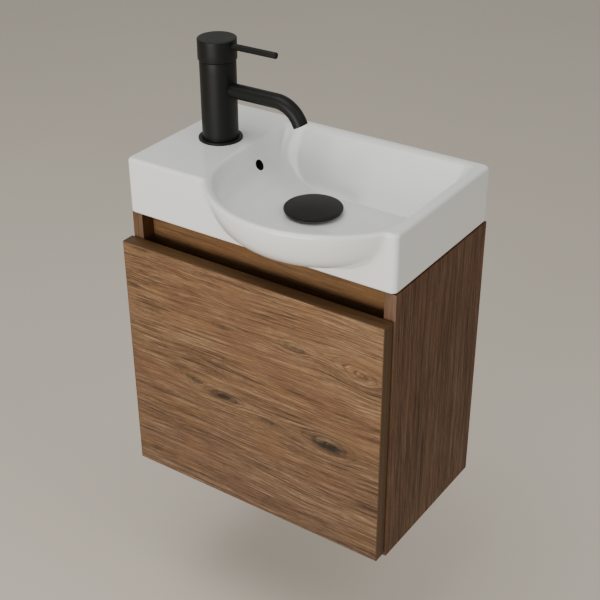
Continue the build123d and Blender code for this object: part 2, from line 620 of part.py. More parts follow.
# click mechanism: hub on three spokes inside the waste body
with BuildPart() as waste_core:
    rod((waste_x, waste_y, bowl_floor - 30), (0, 0, 1), 8.0, 27)
    with BuildSketch(Plane.XY.offset(bowl_floor - 22)):
        with Locations((waste_x, waste_y)):
            with PolarLocations(0, 3):
                Rectangle(18.5, 2.4, align=(Align.MIN, Align.CENTER))
    extrude(amount=6)
    rod((waste_x, waste_y, bowl_floor - 27), (0, 0, 1), 5.05, 30, mode=Mode.SUBTRACT)
save(waste_core.part, "waste_core")

cap_bot = basin_top - 55.5
cap_rise, cap_edge = 7.0, 4.3            # crown and rim height above the cap's lower edge
crown_half = 37.2
crown_r = (crown_half ** 2 + (cap_rise - cap_edge) ** 2) / (2 * (cap_rise - cap_edge))
crown_mid = cap_rise - crown_r + math.sqrt(crown_r ** 2 - 20.0 ** 2)
with BuildPart() as waste_cap:
    with BuildSketch(Plane(origin=(waste_x, waste_y, cap_bot), x_dir=(1, 0, 0), z_dir=(0, -1, 0))):
        with BuildLine():
            Polyline((0, cap_rise), (0, 4.0), (34.6, 4.0), (34.6, 0), (37.0, 0), (cap_r, 1.2),
                     (cap_r, 3.4), (crown_half, cap_edge))
            ThreePointArc((crown_half, cap_edge), (20.0, crown_mid), (0, cap_rise))
        make_face()
    revolve(axis=Axis((waste_x, waste_y, 0), (0, 0, 1)))
save(waste_cap.part, "waste_cap")

with BuildPart() as waste_cap_seal:
    ring(waste_x, waste_y, cap_bot + 2.1, cap_bot + 4.0, 23.0, 18.0)
save(waste_cap_seal.part, "waste_cap_seal")

with BuildPart() as waste_stem:
    rod((waste_x, waste_y, bowl_floor - 21), (0, 0, 1), 5.0, cap_bot + 4.0 - bowl_floor + 21)
save(waste_stem.part, "waste_stem")
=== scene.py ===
import json
import math

import bmesh
import bpy
import numpy as np
from mathutils import Matrix, Vector


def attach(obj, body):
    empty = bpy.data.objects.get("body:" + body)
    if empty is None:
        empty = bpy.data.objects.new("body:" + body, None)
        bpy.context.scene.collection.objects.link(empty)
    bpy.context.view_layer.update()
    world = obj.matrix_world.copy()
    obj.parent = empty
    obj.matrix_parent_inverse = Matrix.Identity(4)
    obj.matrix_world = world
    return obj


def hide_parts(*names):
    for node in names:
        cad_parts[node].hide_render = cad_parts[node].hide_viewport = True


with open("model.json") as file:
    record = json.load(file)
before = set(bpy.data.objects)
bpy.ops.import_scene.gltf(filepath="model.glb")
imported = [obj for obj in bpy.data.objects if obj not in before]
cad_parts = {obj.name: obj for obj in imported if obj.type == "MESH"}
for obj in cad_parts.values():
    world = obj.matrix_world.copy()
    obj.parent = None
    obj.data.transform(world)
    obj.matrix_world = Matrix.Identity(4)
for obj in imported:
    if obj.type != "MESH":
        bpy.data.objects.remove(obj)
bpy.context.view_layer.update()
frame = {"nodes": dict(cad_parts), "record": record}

scene = bpy.context.scene
nodes = frame["nodes"]
MM = 0.001

# ------------------------------------------------------------------ camera
cam_data = bpy.data.cameras.new("camera")
cam_data.sensor_fit = "HORIZONTAL"
cam_data.sensor_width = 36.0
cam_data.lens = 72.49
cam_data.shift_x = 0.0635
cam_data.shift_y = 0.0335
cam_data.clip_end = 60.0
camera = bpy.data.objects.new("camera", cam_data)
scene.collection.objects.link(camera)
camera.rotation_mode = "XYZ"
camera.rotation_euler = (1.0235850, 0.0208069, 0.6218050)
camera.location = (0.78466, -1.28358, 0.75132)
scene.camera = camera


# --------------------------------------------------------------- node tools
class Net:
    """Short way to write a shader node tree."""

    def __init__(self, name):
        self.mat = bpy.data.materials.new(name)
        self.mat.use_nodes = True
        self.t = self.mat.node_tree
        self.t.nodes.clear()
        self.out = self.t.nodes.new("ShaderNodeOutputMaterial")
        self.bsdf = self.t.nodes.new("ShaderNodeBsdfPrincipled")
        self.t.links.new(self.bsdf.outputs[0], self.out.inputs[0])

    def put(self, socket, value):
        if isinstance(value, bpy.types.NodeSocket):
            self.t.links.new(value, socket)
        elif value is not None:
            socket.default_value = value

    def math(self, op, a, b=None, c=None, clamp=False):
        n = self.t.nodes.new("ShaderNodeMath")
        n.operation = op
        n.use_clamp = clamp
        self.put(n.inputs[0], a)
        if b is not None:
            self.put(n.inputs[1], b)
        if c is not None:
            self.put(n.inputs[2], c)
        return n.outputs[0]

    def add(self, a, b):
        return self.math("ADD", a, b)

    def sub(self, a, b):
        return self.math("SUBTRACT", a, b)

    def mul(self, a, b):
        return self.math("MULTIPLY", a, b)

    def coords(self):
        n = self.t.nodes.new("ShaderNodeTexCoord")
        s = self.t.nodes.new("ShaderNodeSeparateXYZ")
        self.t.links.new(n.outputs["Object"], s.inputs[0])
        self.object = n.outputs["Object"]
        return s.outputs[0], s.outputs[1], s.outputs[2]

    def vec(self, x, y, z=0.0):
        n = self.t.nodes.new("ShaderNodeCombineXYZ")
        for i, v in enumerate((x, y, z)):
            self.put(n.inputs[i], v)
        return n.outputs[0]

    def noise(self, vector, scale=1.0, detail=2.0, rough=0.5, distortion=0.0):
        n = self.t.nodes.new("ShaderNodeTexNoise")
        n.noise_dimensions = "3D"
        self.put(n.inputs["Vector"], vector)
        n.inputs["Scale"].default_value = scale
        n.inputs["Detail"].default_value = detail
        n.inputs["Roughness"].default_value = rough
        n.inputs["Distortion"].default_value = distortion
        return n.outputs[0]

    def ramp(self, fac, stops, mode="LINEAR"):
        n = self.t.nodes.new("ShaderNodeValToRGB")
        self.put(n.inputs[0], fac)
        n.color_ramp.interpolation = mode
        el = n.color_ramp.elements
        while len(el) > 1:
            el.remove(el[-1])
        for i, (pos, col) in enumerate(stops):
            e = el[0] if i == 0 else el.new(pos)
            e.position = pos
            e.color = (*col, 1.0) if not isinstance(col, (int, float)) else (col, col, col, 1.0)
        return n.outputs[0]

    def mix(self, fac, a, b, blend="MIX"):
        n = self.t.nodes.new("ShaderNodeMix")
        n.data_type = "RGBA"
        n.blend_type = blend
        self.put(n.inputs[0], fac)
        for sock, v in ((n.inputs[6], a), (n.inputs[7], b)):
            if isinstance(v, tuple) and len(v) == 3:
                v = (*v, 1.0)
            self.put(sock, v)
        return n.outputs[2]

    def maprange(self, v, a, b, c, d):
        n = self.t.nodes.new("ShaderNodeMapRange")
        n.clamp = True
        for i, x in enumerate((v, a, b, c, d)):
            self.put(n.inputs[i], x)
        return n.outputs[0]

    def bump(self, height, strength, distance):
        n = self.t.nodes.new("ShaderNodeBump")
        n.inputs["Strength"].default_value = strength
        n.inputs["Distance"].default_value = distance
        self.put(n.inputs["Height"], height)
        self.t.links.new(n.outputs[0], self.bsdf.inputs["Normal"])
        return n.outputs[0]

    def surface(self, color=None, rough=None, **named):
        if isinstance(color, tuple) and len(color) == 3:
            color = (*color, 1.0)
        self.put(self.bsdf.inputs["Base Color"], color)
        self.put(self.bsdf.inputs["Roughness"], rough)
        for key, value in named.items():
            self.bsdf.inputs[key.replace("_", " ")].default_value = value
        return self.mat


# ---------------------------------------------------------------- materials
def wood(name, along, across, tones, seed, knots=(), contrast=1.0, rough=(0.40, 0.60), warp=1.0, painted_shade=None):
    """Printed wood laminate. along and across are the axes of the grain and of the
    board's width (0, 1 or 2).  knots: (along, across, half length, half height,
    darkness, pull, lean)."""
    n = Net(name)
    axes = n.coords()
    u0, v = axes[along], axes[across]
    w = axes[3 - along - across]
    u = n.add(u0, seed * 1.37)
    # knots push the grain lines apart
    vv = v
    dark = None
    swirl = None
    for ku, kv, lu, lv, depth, pull, lean in knots:
        a = n.sub(u0, ku)
        b = n.sub(n.sub(v, kv), n.mul(a, lean))
        du = n.math("DIVIDE", a, lu)
        dv = n.math("DIVIDE", b, lv)
        d2 = n.add(n.mul(du, du), n.mul(dv, dv))
        fall = n.math("EXPONENT", n.mul(d2, -1.0))
        vv = n.sub(vv, n.mul(n.mul(b, fall), pull))
        if depth > 0:
            wob = n.noise(n.vec(n.mul(u, 45.0), n.mul(v, 120.0), 3.3), detail=4.0, rough=0.65)
            near = n.add(n.mul(n.mul(du, du), 1.9), n.mul(n.mul(dv, dv), 3.8))
            near = n.add(near, n.mul(n.sub(wob, 0.5), 3.4))
            core = n.mul(n.math("EXPONENT", n.mul(n.math("MAXIMUM", near, 0.0), -1.0), clamp=True), depth)
            dark = core if dark is None else n.math("MAXIMUM", dark, core)
        # rings round the knot
        ring = n.math("SINE", n.add(n.mul(n.math("SQRT", d2), 17.0), n.mul(slow_noise(n, u, v, seed), 9.0)))
        ring = n.mul(n.maprange(ring, 0.25, 1.0, 0.0, 1.0), n.math("EXPONENT", n.mul(d2, -1.1)))
        ring = n.mul(ring, 0.35 + 0.4 * (1.0 if depth == 0 else depth))
        swirl = ring if swirl is None else n.math("MAXIMUM", swirl, ring)
    # slow waver of the lines along the board
    slow = n.noise(n.vec(n.mul(u, 2.6), n.mul(vv, 8.0), seed), detail=2.0)
    slow2 = n.noise(n.vec(n.mul(u, 12.0), n.mul(vv, 30.0), seed + 4.0), detail=2.0)
    vw = n.add(vv, n.add(n.mul(n.sub(slow, 0.5), 0.026 * warp), n.mul(n.sub(slow2, 0.5), 0.0045 * warp)))
    broad = n.noise(n.vec(n.mul(u, 2.2), n.mul(vw, 26.0), seed + 1.0), detail=3.0, rough=0.6)
    growth = n.noise(n.vec(n.mul(u, 6.0), n.mul(vw, 190.0), seed + 2.0), detail=3.0, rough=0.62)
    streak = n.noise(n.vec(n.mul(u, 17.0), n.mul(vw, 560.0), seed + 3.0), detail=3.0, rough=0.66)
    dash = n.noise(n.vec(n.mul(u, 42.0), n.mul(vw, 700.0), seed + 5.0), detail=2.0, rough=0.6)
    fibre = n.noise(n.vec(n.mul(u, 120.0), n.mul(vw, 1300.0), seed + 6.0), detail=2.0, rough=0.6)
    patch = n.noise(n.vec(n.mul(u, 5.5), n.mul(v, 12.0), n.add(n.mul(w, 3.0), seed + 7.0)), detail=3.0)
    blotch = n.noise(n.vec(n.mul(u, 14.0), n.mul(v, 34.0), seed + 9.0), detail=3.0)
    tone = n.add(n.mul(broad, 0.16), n.add(n.mul(growth, 0.26), n.add(n.mul(streak, 0.42), n.mul(fibre, 0.16))))
    tone = n.add(n.mul(n.sub(tone, 0.5), 6.4 * contrast), 0.5)
    dark3, mid, light, pale = tones
    base = n.ramp(tone, [(0.0, dark3), (0.34, mid), (0.66, light), (1.0, pale)])
    red = tuple(a * b for a, b in zip(mid, (1.08, 0.88, 0.90)))
    gold = tuple(a * b for a, b in zip(light, (1.08, 0.98, 0.72)))
    base = n.mix(n.mul(n.maprange(patch, 0.46, 0.66, 0.0, 1.0), 0.42), base, red)
    base = n.mix(n.mul(n.maprange(blotch, 0.52, 0.70, 0.0, 1.0), 0.50), base, gold)
    lines = n.maprange(growth, 0.26, 0.42, 1.0, 0.0)
    base = n.mix(n.mul(lines, 0.62 * contrast), base, tuple(c * 0.62 for c in dark3))
    marks = n.mul(n.maprange(dash, 0.55, 0.66, 0.0, 1.0), n.maprange(broad, 0.62, 0.40, 0.35, 1.0))
    base = n.mix(n.mul(marks, 0.66 * contrast), base, tuple(c * 0.60 for c in dark3))
    fleck = n.mul(n.maprange(dash, 0.43, 0.33, 0.0, 1.0), n.maprange(streak, 0.46, 0.60, 0.0, 1.0))
    base = n.mix(n.mul(fleck, 0.34 * contrast), base, tuple(min(1.0, c * 1.30) for c in pale))
    if swirl is not None:
        base = n.mix(n.mul(swirl, 0.75), base, tuple(c * 0.50 for c in dark3))
    if dark is not None:
        base = n.mix(n.mul(dark, 0.96), base, tuple(a * b for a, b in zip(dark3, (0.34, 0.50, 0.62))))
    if painted_shade is not None:
        # painted shade: the board is darkened across its width, by this colour at the first height fading to none at
        # the second
        low, high, shade_tint = painted_shade
        base = n.mix(n.maprange(v, low, high, 1.0, 0.0), base, shade_tint, "MULTIPLY")
    height = n.sub(n.mul(streak, 0.7), n.mul(marks, 0.7))
    n.bump(height, 0.30, 0.00012)
    r = n.maprange(tone, 0.2, 0.8, rough[1], rough[0])
    return n.surface(base, r, IOR=1.45, Specular_IOR_Level=0.30)


def slow_noise(n, u, v, seed):
    return n.noise(n.vec(n.mul(u, 22.0), n.mul(v, 40.0), seed + 12.0), detail=2.0)


def glaze(name):
    n = Net(name)
    x, y, z = n.coords()
    soft = n.noise(n.object, scale=7.0, detail=2.0)
    fine = n.noise(n.object, scale=260.0, detail=2.0)
    color = n.mix(soft, (0.735, 0.742, 0.722), (0.775, 0.780, 0.762))
    # the overflow passage behind the mouth of the hole is coloured near-black: partly the bare unglazed body, mostly
    # painted shade inside the hole
    a, b, c = n.add(x, 0.108), n.add(y, 0.105), n.sub(z, 0.0925)
    along = n.add(n.mul(a, 0.968), n.mul(c, 0.251))
    across = n.sub(n.mul(c, 0.968), n.mul(a, 0.251))
    radial = n.math("SQRT", n.add(n.mul(b, b), n.mul(across, across)))
    in_bore = n.mul(n.maprange(radial, 0.0071, 0.0073, 1.0, 0.0), n.maprange(along, 0.0440, 0.0450, 1.0, 0.0))
    in_bore = n.mul(in_bore, n.maprange(x, -0.1190, -0.1185, 0.0, 1.0))
    case = n.mul(n.maprange(n.math("ABSOLUTE", b), 0.0165, 0.0175, 1.0, 0.0), n.maprange(x, -0.0885, -0.0890, 0.0, 1.0))
    case = n.mul(case, n.mul(n.maprange(x, -0.118, -0.1175, 0.0, 1.0), n.maprange(z, 0.1145, 0.1150, 1.0, 0.0)))
    inside = n.math("MAXIMUM", in_bore, case)
    # painted shade: near-black inside the overflow bore and the case behind it
    color = n.mix(inside, color, (0.014, 0.014, 0.013))
    n.bump(n.add(n.mul(soft, 1.0), n.mul(fine, 0.02)), 0.12, 0.0006)
    r = n.maprange(soft, 0.3, 0.7, 0.15, 0.20)
    return n.surface(color, r, IOR=1.52, Coat_Weight=0.22, Coat_Roughness=0.10)


def satin(name, dark, light, rough, grain=900.0, metal=0.0, bump=0.10, spec=0.5, coat=0.0):
    """Even coated surface with a fine skin and slight unevenness."""
    n = Net(name)
    n.coords()
    cloud = n.noise(n.object, scale=22.0, detail=3.0)
    skin = n.noise(n.object, scale=grain, detail=2.0, rough=0.6)
    color = n.mix(n.add(n.mul(cloud, 0.7), n.mul(skin, 0.3)), dark, light)
    n.bump(skin, bump, 0.00015)
    r = n.maprange(n.add(n.mul(cloud, 0.6), n.mul(skin, 0.4)), 0.3, 0.7, rough[0], rough[1])
    return n.surface(color, r, Metallic=metal, Specular_IOR_Level=spec, Coat_Weight=coat)


def brushed(name, dark, light, rough, axis=2):
    """Rolled or turned metal with lines along one axis."""
    n = Net(name)
    axes = list(n.coords())
    scaled = [n.mul(a, 60.0 if i == axis else 1400.0) for i, a in enumerate(axes)]
    lines = n.noise(n.vec(*scaled), detail=3.0)
    cloud = n.noise(n.object, scale=35.0, detail=3.0)
    color = n.mix(n.add(n.mul(lines, 0.5), n.mul(cloud, 0.5)), dark, light)
    n.bump(lines, 0.12, 0.0001)
    r = n.maprange(n.add(n.mul(lines, 0.5), n.mul(cloud, 0.5)), 0.3, 0.7, rough[0], rough[1])
    return n.surface(color, r, Metallic=1.0)


door_tones = ((0.045, 0.021, 0.0085), (0.132, 0.069, 0.032), (0.190, 0.105, 0.052), (0.335, 0.205, 0.105))
side_tones = ((0.032, 0.0125, 0.0044), (0.079, 0.0330, 0.0117), (0.104, 0.0455, 0.0172), (0.156, 0.0740, 0.031))
rail_tones = ((0.062, 0.028, 0.0110), (0.140, 0.070, 0.029), (0.178, 0.093, 0.040), (0.245, 0.138, 0.063))
edge_tones = ((0.060, 0.030, 0.0140), (0.104, 0.055, 0.027), (0.127, 0.069, 0.034), (0.172, 0.098, 0.050))
band_tones = ((0.047, 0.0240, 0.0092), (0.074, 0.039, 0.0150), (0.087, 0.047, 0.0188), (0.110, 0.062, 0.026))

# along, across, half length, half height, darkness, pull on the grain, lean
door_knots = (
    (0.122, -0.184, 0.044, 0.017, 1.00, 0.90, -0.06),
    (-0.045, -0.174, 0.036, 0.012, 0.95, 0.80, -0.05),
    (-0.092, -0.164, 0.024, 0.009, 0.75, 0.70, -0.10),
    (0.030, -0.187, 0.020, 0.006, 0.60, 0.60, -0.02),
    (0.166, -0.060, 0.040, 0.017, 0.0, 0.95, -0.22),
    (0.070, -0.056, 0.026, 0.011, 0.60, 0.90, -0.05),
    (-0.192, -0.048, 0.014, 0.006, 0.75, 0.60, 0.0),
    (-0.041, -0.064, 0.018, 0.006, 0.50, 0.60, 0.0),
)
M = {
    "ceramic": glaze("ceramic_glaze"),
    "sealant": satin("silicone", (0.035, 0.03, 0.026), (0.06, 0.052, 0.045), (0.45, 0.6), 500.0),
    "carcass_laminate": wood("laminate_left", 2, 1, side_tones, 11.3, contrast=0.75),
    "carcass_laminate_right": wood("laminate_right", 2, 1, side_tones, 3.7, contrast=0.75),
    "carcass_laminate_bottom": wood("laminate_bottom", 0, 1, side_tones, 23.1),
    "panel_edge": wood("laminate_panel_edge", 2, 0, edge_tones, 5.9, contrast=0.7),
    # painted shade: the rail darkens towards its lower edge, in the recess behind the top of the door
    "rail_laminate": wood("laminate_rail", 0, 2, rail_tones, 8.2, contrast=0.6, painted_shade=(-0.008, 0.020, (0.16, 0.15, 0.13))),
    "rear_rail_laminate": wood("laminate_rear_rail", 0, 2, side_tones, 17.9),
    "beech": wood("beech_dowel", 0, 1, ((0.42, 0.27, 0.15), (0.52, 0.35, 0.20), (0.60, 0.42, 0.26), (0.68, 0.50, 0.33)), 2.2),
    # painted shade: the door darkens and cools towards its bottom edge
    "door_laminate": wood("laminate_door", 0, 2, door_tones, 1.0, knots=door_knots, contrast=0.84, painted_shade=(-0.34, -0.02, (0.74, 0.77, 0.88))),
    "door_edge": wood("laminate_door_edge", 0, 1, band_tones, 14.4, contrast=0.5),
    "zinc": brushed("zinc_plate", (0.45, 0.46, 0.48), (0.68, 0.69, 0.70), (0.28, 0.42)),
    "screw_steel": brushed("screw_zinc", (0.42, 0.43, 0.45), (0.65, 0.66, 0.68), (0.25, 0.38), 1),
    "pin_steel": brushed("pin_steel", (0.38, 0.38, 0.39), (0.58, 0.58, 0.59), (0.22, 0.34), 2),
    "hinge_nickel": brushed("hinge_nickel", (0.50, 0.49, 0.46), (0.70, 0.69, 0.65), (0.20, 0.32), 1),
    "clear_bumper": satin("soft_bumper", (0.50, 0.50, 0.47), (0.62, 0.62, 0.59), (0.30, 0.42), 700.0),
    "black_rubber": satin("black_rubber", (0.012, 0.012, 0.012), (0.026, 0.026, 0.025), (0.62, 0.78), 800.0, bump=0.25),
    "tap_black": satin("tap_black_coat", (0.0042, 0.0045, 0.0040), (0.0070, 0.0073, 0.0066), (0.38, 0.46), 1500.0, bump=0.10, spec=0.21),
    "black_steel": satin("black_steel", (0.015, 0.015, 0.015), (0.03, 0.03, 0.03), (0.38, 0.5), 900.0, metal=0.6),
    "aerator_plastic": satin("aerator_plastic", (0.24, 0.24, 0.23), (0.33, 0.33, 0.32), (0.4, 0.55), 900.0),
    "cartridge_plastic": satin("cartridge_plastic", (0.50, 0.50, 0.48), (0.60, 0.60, 0.58), (0.4, 0.55), 900.0),
    "brass": brushed("turned_brass", (0.50, 0.36, 0.15), (0.72, 0.54, 0.26), (0.24, 0.36), 2),
    "chrome": brushed("chrome_plate", (0.62, 0.62, 0.63), (0.74, 0.74, 0.75), (0.06, 0.12), 2),
    "black_plastic": satin("black_plastic", (0.016, 0.016, 0.016), (0.03, 0.03, 0.03), (0.45, 0.6), 700.0, bump=0.2),
    "waste_black": satin("waste_black_coat", (0.0070, 0.0062, 0.0052), (0.0105, 0.0092, 0.0080), (0.42, 0.52), 1500.0, bump=0.12, spec=0.24),
}
record = frame["record"]
slot_of = {s["node"]: s["material_slot"] for s in record["subparts"]}


# ------------------------------------------------------------- mesh helpers
def new_object(name, verts, faces, slot, body, nodes_replaced=(), smooth_angle=35.0):
    me = bpy.data.meshes.new(name)
    me.from_pydata([tuple(p) for p in verts], [], faces)
    me.validate()
    bm = bmesh.new()
    bm.from_mesh(me)
    bmesh.ops.remove_doubles(bm, verts=bm.verts, dist=1e-7)
    bmesh.ops.recalc_face_normals(bm, faces=bm.faces)
    bm.to_mesh(me)
    bm.free()
    finish_mesh(me, smooth_angle)
    ob = bpy.data.objects.new(name, me)
    scene.collection.objects.link(ob)
    me.materials.append(M[slot])
    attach(ob, body)
    if nodes_replaced:
        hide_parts(*nodes_replaced)
    return ob


def finish_mesh(me, angle):
    for p in me.polygons:
        p.use_smooth = True
    me.set_sharp_from_angle(angle=math.radians(angle))


def arc_points(cx, cz, r, a0, a1, n):
    return [(cx + r * math.cos(math.radians(a0 + (a1 - a0) * i / n)),
             cz + r * math.sin(math.radians(a0 + (a1 - a0) * i / n))) for i in range(n + 1)]


def lathe(name, profile, centre, slot, body, replaced, steps=160, axis="Z", smooth_angle=35.0):
    """Closed profile of (radius, height) in millimetres turned round an axis through centre."""
    verts, faces = [], []
    cx, cy, cz = centre
    on_axis = [abs(r) < 1e-9 for r, _ in profile]
    index = []
    for i, (r, h) in enumerate(profile):
        row = []
        count = 1 if on_axis[i] else steps
        for k in range(count):
            a = 2 * math.pi * k / steps
            p = (r * math.cos(a), r * math.sin(a), h)
            if axis == "X":
                p = (h, r * math.cos(a), r * math.sin(a))
            row.append(len(verts))
            verts.append(((cx + p[0]) * MM, (cy + p[1]) * MM, (cz + p[2]) * MM))
        index.append(row)
    m = len(profile)
    for i in range(m):
        a, b = index[i], index[(i + 1) % m]
        if len(a) == 1 and len(b) == 1:
            continue
        for k in range(steps):
            k2 = (k + 1) % steps
            if len(a) == 1:
                faces.append((a[0], b[k], b[k2]))
            elif len(b) == 1:
                faces.append((a[k], b[0], a[k2]))
            else:
                faces.append((a[k], b[k], b[k2], a[k2]))
    return new_object(name, verts, faces, slot, body, replaced, smooth_angle)


def soft_box(name, boxes, slot, body, replaced, bevel=0.0008, segments=2):
    """One object made of slabs with rounded edges."""
    bm = bmesh.new()
    for x0, x1, y0, y1, z0, z1 in boxes:
        made = bmesh.ops.create_cube(bm, size=1.0)
        for vert in made["verts"]:
            c = vert.co
            vert.co = Vector(((x0 + x1) / 2 + c.x * (x1 - x0), (y0 + y1) / 2 + c.y * (y1 - y0),
                              (z0 + z1) / 2 + c.z * (z1 - z0))) * MM
    bmesh.ops.bevel(bm, geom=list(bm.edges), offset=bevel, segments=segments, affect="EDGES", profile=0.5)
    bmesh.ops.recalc_face_normals(bm, faces=bm.faces)
    me = bpy.data.meshes.new(name)
    bm.to_mesh(me)
    bm.free()
    finish_mesh(me, 50.0)
    ob = bpy.data.objects.new(name, me)
    scene.collection.objects.link(ob)
    me.materials.append(M[slot])
    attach(ob, body)
    if replaced:
        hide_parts(*replaced)
    return ob


# -------------------------------------------------------------------- basin
TOP = 128.5
BX, BY = 54.6, -137.5
C0 = np.array([62.0, -120.0])


def pchip(xs, ys, x):
    """Monotone cubic through (xs, ys); xs rising."""
    xs, ys = np.asarray(xs, float), np.asarray(ys, float)
    h = np.diff(xs)
    d = np.diff(ys) / h
    m = np.zeros_like(ys)
    for i in range(1, len(xs) - 1):
        if d[i - 1] * d[i] > 0:
            w1, w2 = 2 * h[i] + h[i - 1], h[i] + 2 * h[i - 1]
            m[i] = (w1 + w2) / (w1 / d[i - 1] + w2 / d[i])
    m[0] = 1.5 * d[0] - 0.5 * m[1]
    m[-1] = 1.5 * d[-1] - 0.5 * m[-2]
    if m[0] * d[0] <= 0:
        m[0] = 0.0
    if m[-1] * d[-1] <= 0:
        m[-1] = 0.0
    x = np.asarray(x, float)
    k = np.clip(np.searchsorted(xs, x) - 1, 0, len(xs) - 2)
    t = (x - xs[k]) / h[k]
    return ((2 * t**3 - 3 * t**2 + 1) * ys[k] + (t**3 - 2 * t**2 + t) * h[k] * m[k]
            + (-2 * t**3 + 3 * t**2) * ys[k + 1] + (t**3 - t**2) * h[k] * m[k + 1])


def corner_max(a, b, rho):
    """Maximum of two distances with a rounded corner."""
    ra, rb = a + rho, b + rho
    both = (ra > 0) & (rb > 0)
    return np.where(both, np.sqrt(np.maximum(ra, 0) ** 2 + np.maximum(rb, 0) ** 2) - rho, np.maximum(a, b))


def blend_min(a, b, k):
    h = np.clip(0.5 + 0.5 * (b - a) / k, 0, 1)
    return b + (a - b) * h - k * h * (1 - h)


# bowl inside: height below the deck, left, right, back, front, front radius, corner radii
inner = np.array([
    (-60.0, -18.0, 152.0, -79.0, -166.0, 420.0, 12, 12, 12, 12),
    (-50.0, -60.0, 169.0, -67.5, -247.0, 126.0, 24, 14, 20, 26),
    (-38.0, -79.0, 177.0, -52.5, -272.0, 138.0, 28, 14, 16, 24),
    (-20.0, -88.5, 181.5, -33.0, -283.0, 146.0, 30, 14, 12, 18),
    (0.0, -93.0, 184.0, -14.0, -286.5, 149.0, 30, 14, 9, 14),
])
outer = np.array([
    (-71.0, -28.0, 162.0, -69.0, -176.0, 420.0, 14, 14, 14, 14),
    (-60.0, -70.0, 179.0, -60.0, -250.0, 134.0, 24, 14, 20, 26),
    (-48.0, -89.0, 187.0, -46.0, -276.0, 146.0, 28, 14, 14, 24),
    (-30.0, -99.0, 191.0, -26.0, -290.0, 155.0, 30, 12, 10, 18),
    (-6.0, -104.0, 192.0, -6.0, -294.0, 159.0, 30, 10, 6, 14),
])


def section_at(table, z):
    cols = []
    for c in range(1, 10):
        ys = table[:, c]
        if c == 5:
            cols.append(1.0 / pchip(table[:, 0], 1.0 / ys, z))
        else:
            cols.append(pchip(table[:, 0], ys, z))
    return cols


def section_f(x, y, s, off=0.0):
    xl, xr, yb, yf, rad, r1, r2, r3, r4 = s
    cy = yf + rad
    left, right, back = xl - x - off, x - xr - off, y - yb - off
    front = np.hypot(x - BX, np.minimum(y - cy, 0.0)) - rad - off
    f = corner_max(left, back, r1 + off)
    f = np.maximum(f, corner_max(right, back, r2 + off))
    f = np.maximum(f, corner_max(right, front, r3 + off))
    return np.maximum(f, corner_max(left, front, r4 + off))


bulge_z = np.array([-73.0, -71.0, -66.5, -60, -50, -40, -30, -20, -10, 0])
bulge_r = np.array([60.0, 88.0, 107.0, 123.3, 137.6, 146.6, 152.6, 156.8, 159.3, 160.2])


def outline_f(x, y, z, inset=0.0, smooth=5.0):
    rad = pchip(bulge_z, bulge_r, np.maximum(z, -73.0)) - inset
    rc = 7.0
    qx = np.abs(x) - (200.0 - inset) + rc
    qy = np.abs(y + 115.5) - (115.5 - inset) + rc
    rect = np.hypot(np.maximum(qx, 0), np.maximum(qy, 0)) + np.minimum(np.maximum(qx, qy), 0) - rc
    disc = np.maximum(np.hypot(x - BX, y - BY) - rad, np.maximum(y + 165.0, x - 199.5 + inset))
    return np.maximum(blend_min(rect, disc, smooth), np.abs(x) - (200.0 - inset))


def skirt_f(x, y):
    rc = 4.0
    qx = np.abs(x) - 189.0 + rc
    qy = np.abs(y + 116.0) - 104.0 + rc
    return np.hypot(np.maximum(qx, 0), np.maximum(qy, 0)) + np.minimum(np.maximum(qx, qy), 0) - rc


def hit(func, ang, r1=330.0):
    """Distance from C0 along each ray to where func changes sign."""
    lo = np.zeros_like(ang)
    hi = np.full_like(ang, r1)
    ca, sa = np.cos(ang), np.sin(ang)
    for _ in range(44):
        mid = 0.5 * (lo + hi)
        inside = func(C0[0] + mid * ca, C0[1] + mid * sa) < 0
        lo = np.where(inside, mid, lo)
        hi = np.where(inside, hi, mid)
    return 0.5 * (lo + hi)


def bezier(p0, pc, p3, n, kappa=0.5523):
    """Rounded corner between p0 and p3 whose tangents meet at pc; arrays of (r, z)."""
    out = []
    p1 = [a + kappa * (c - a) for a, c in zip(p0, pc)]
    p2 = [a + kappa * (c - a) for a, c in zip(p3, pc)]
    for i in range(n + 1):
        t = i / n
        out.append(tuple((1 - t) ** 3 * a + 3 * (1 - t) ** 2 * t * b + 3 * (1 - t) * t**2 * c + t**3 * d
                         for a, b, c, d in zip(p0, p1, p2, p3)))
    return out


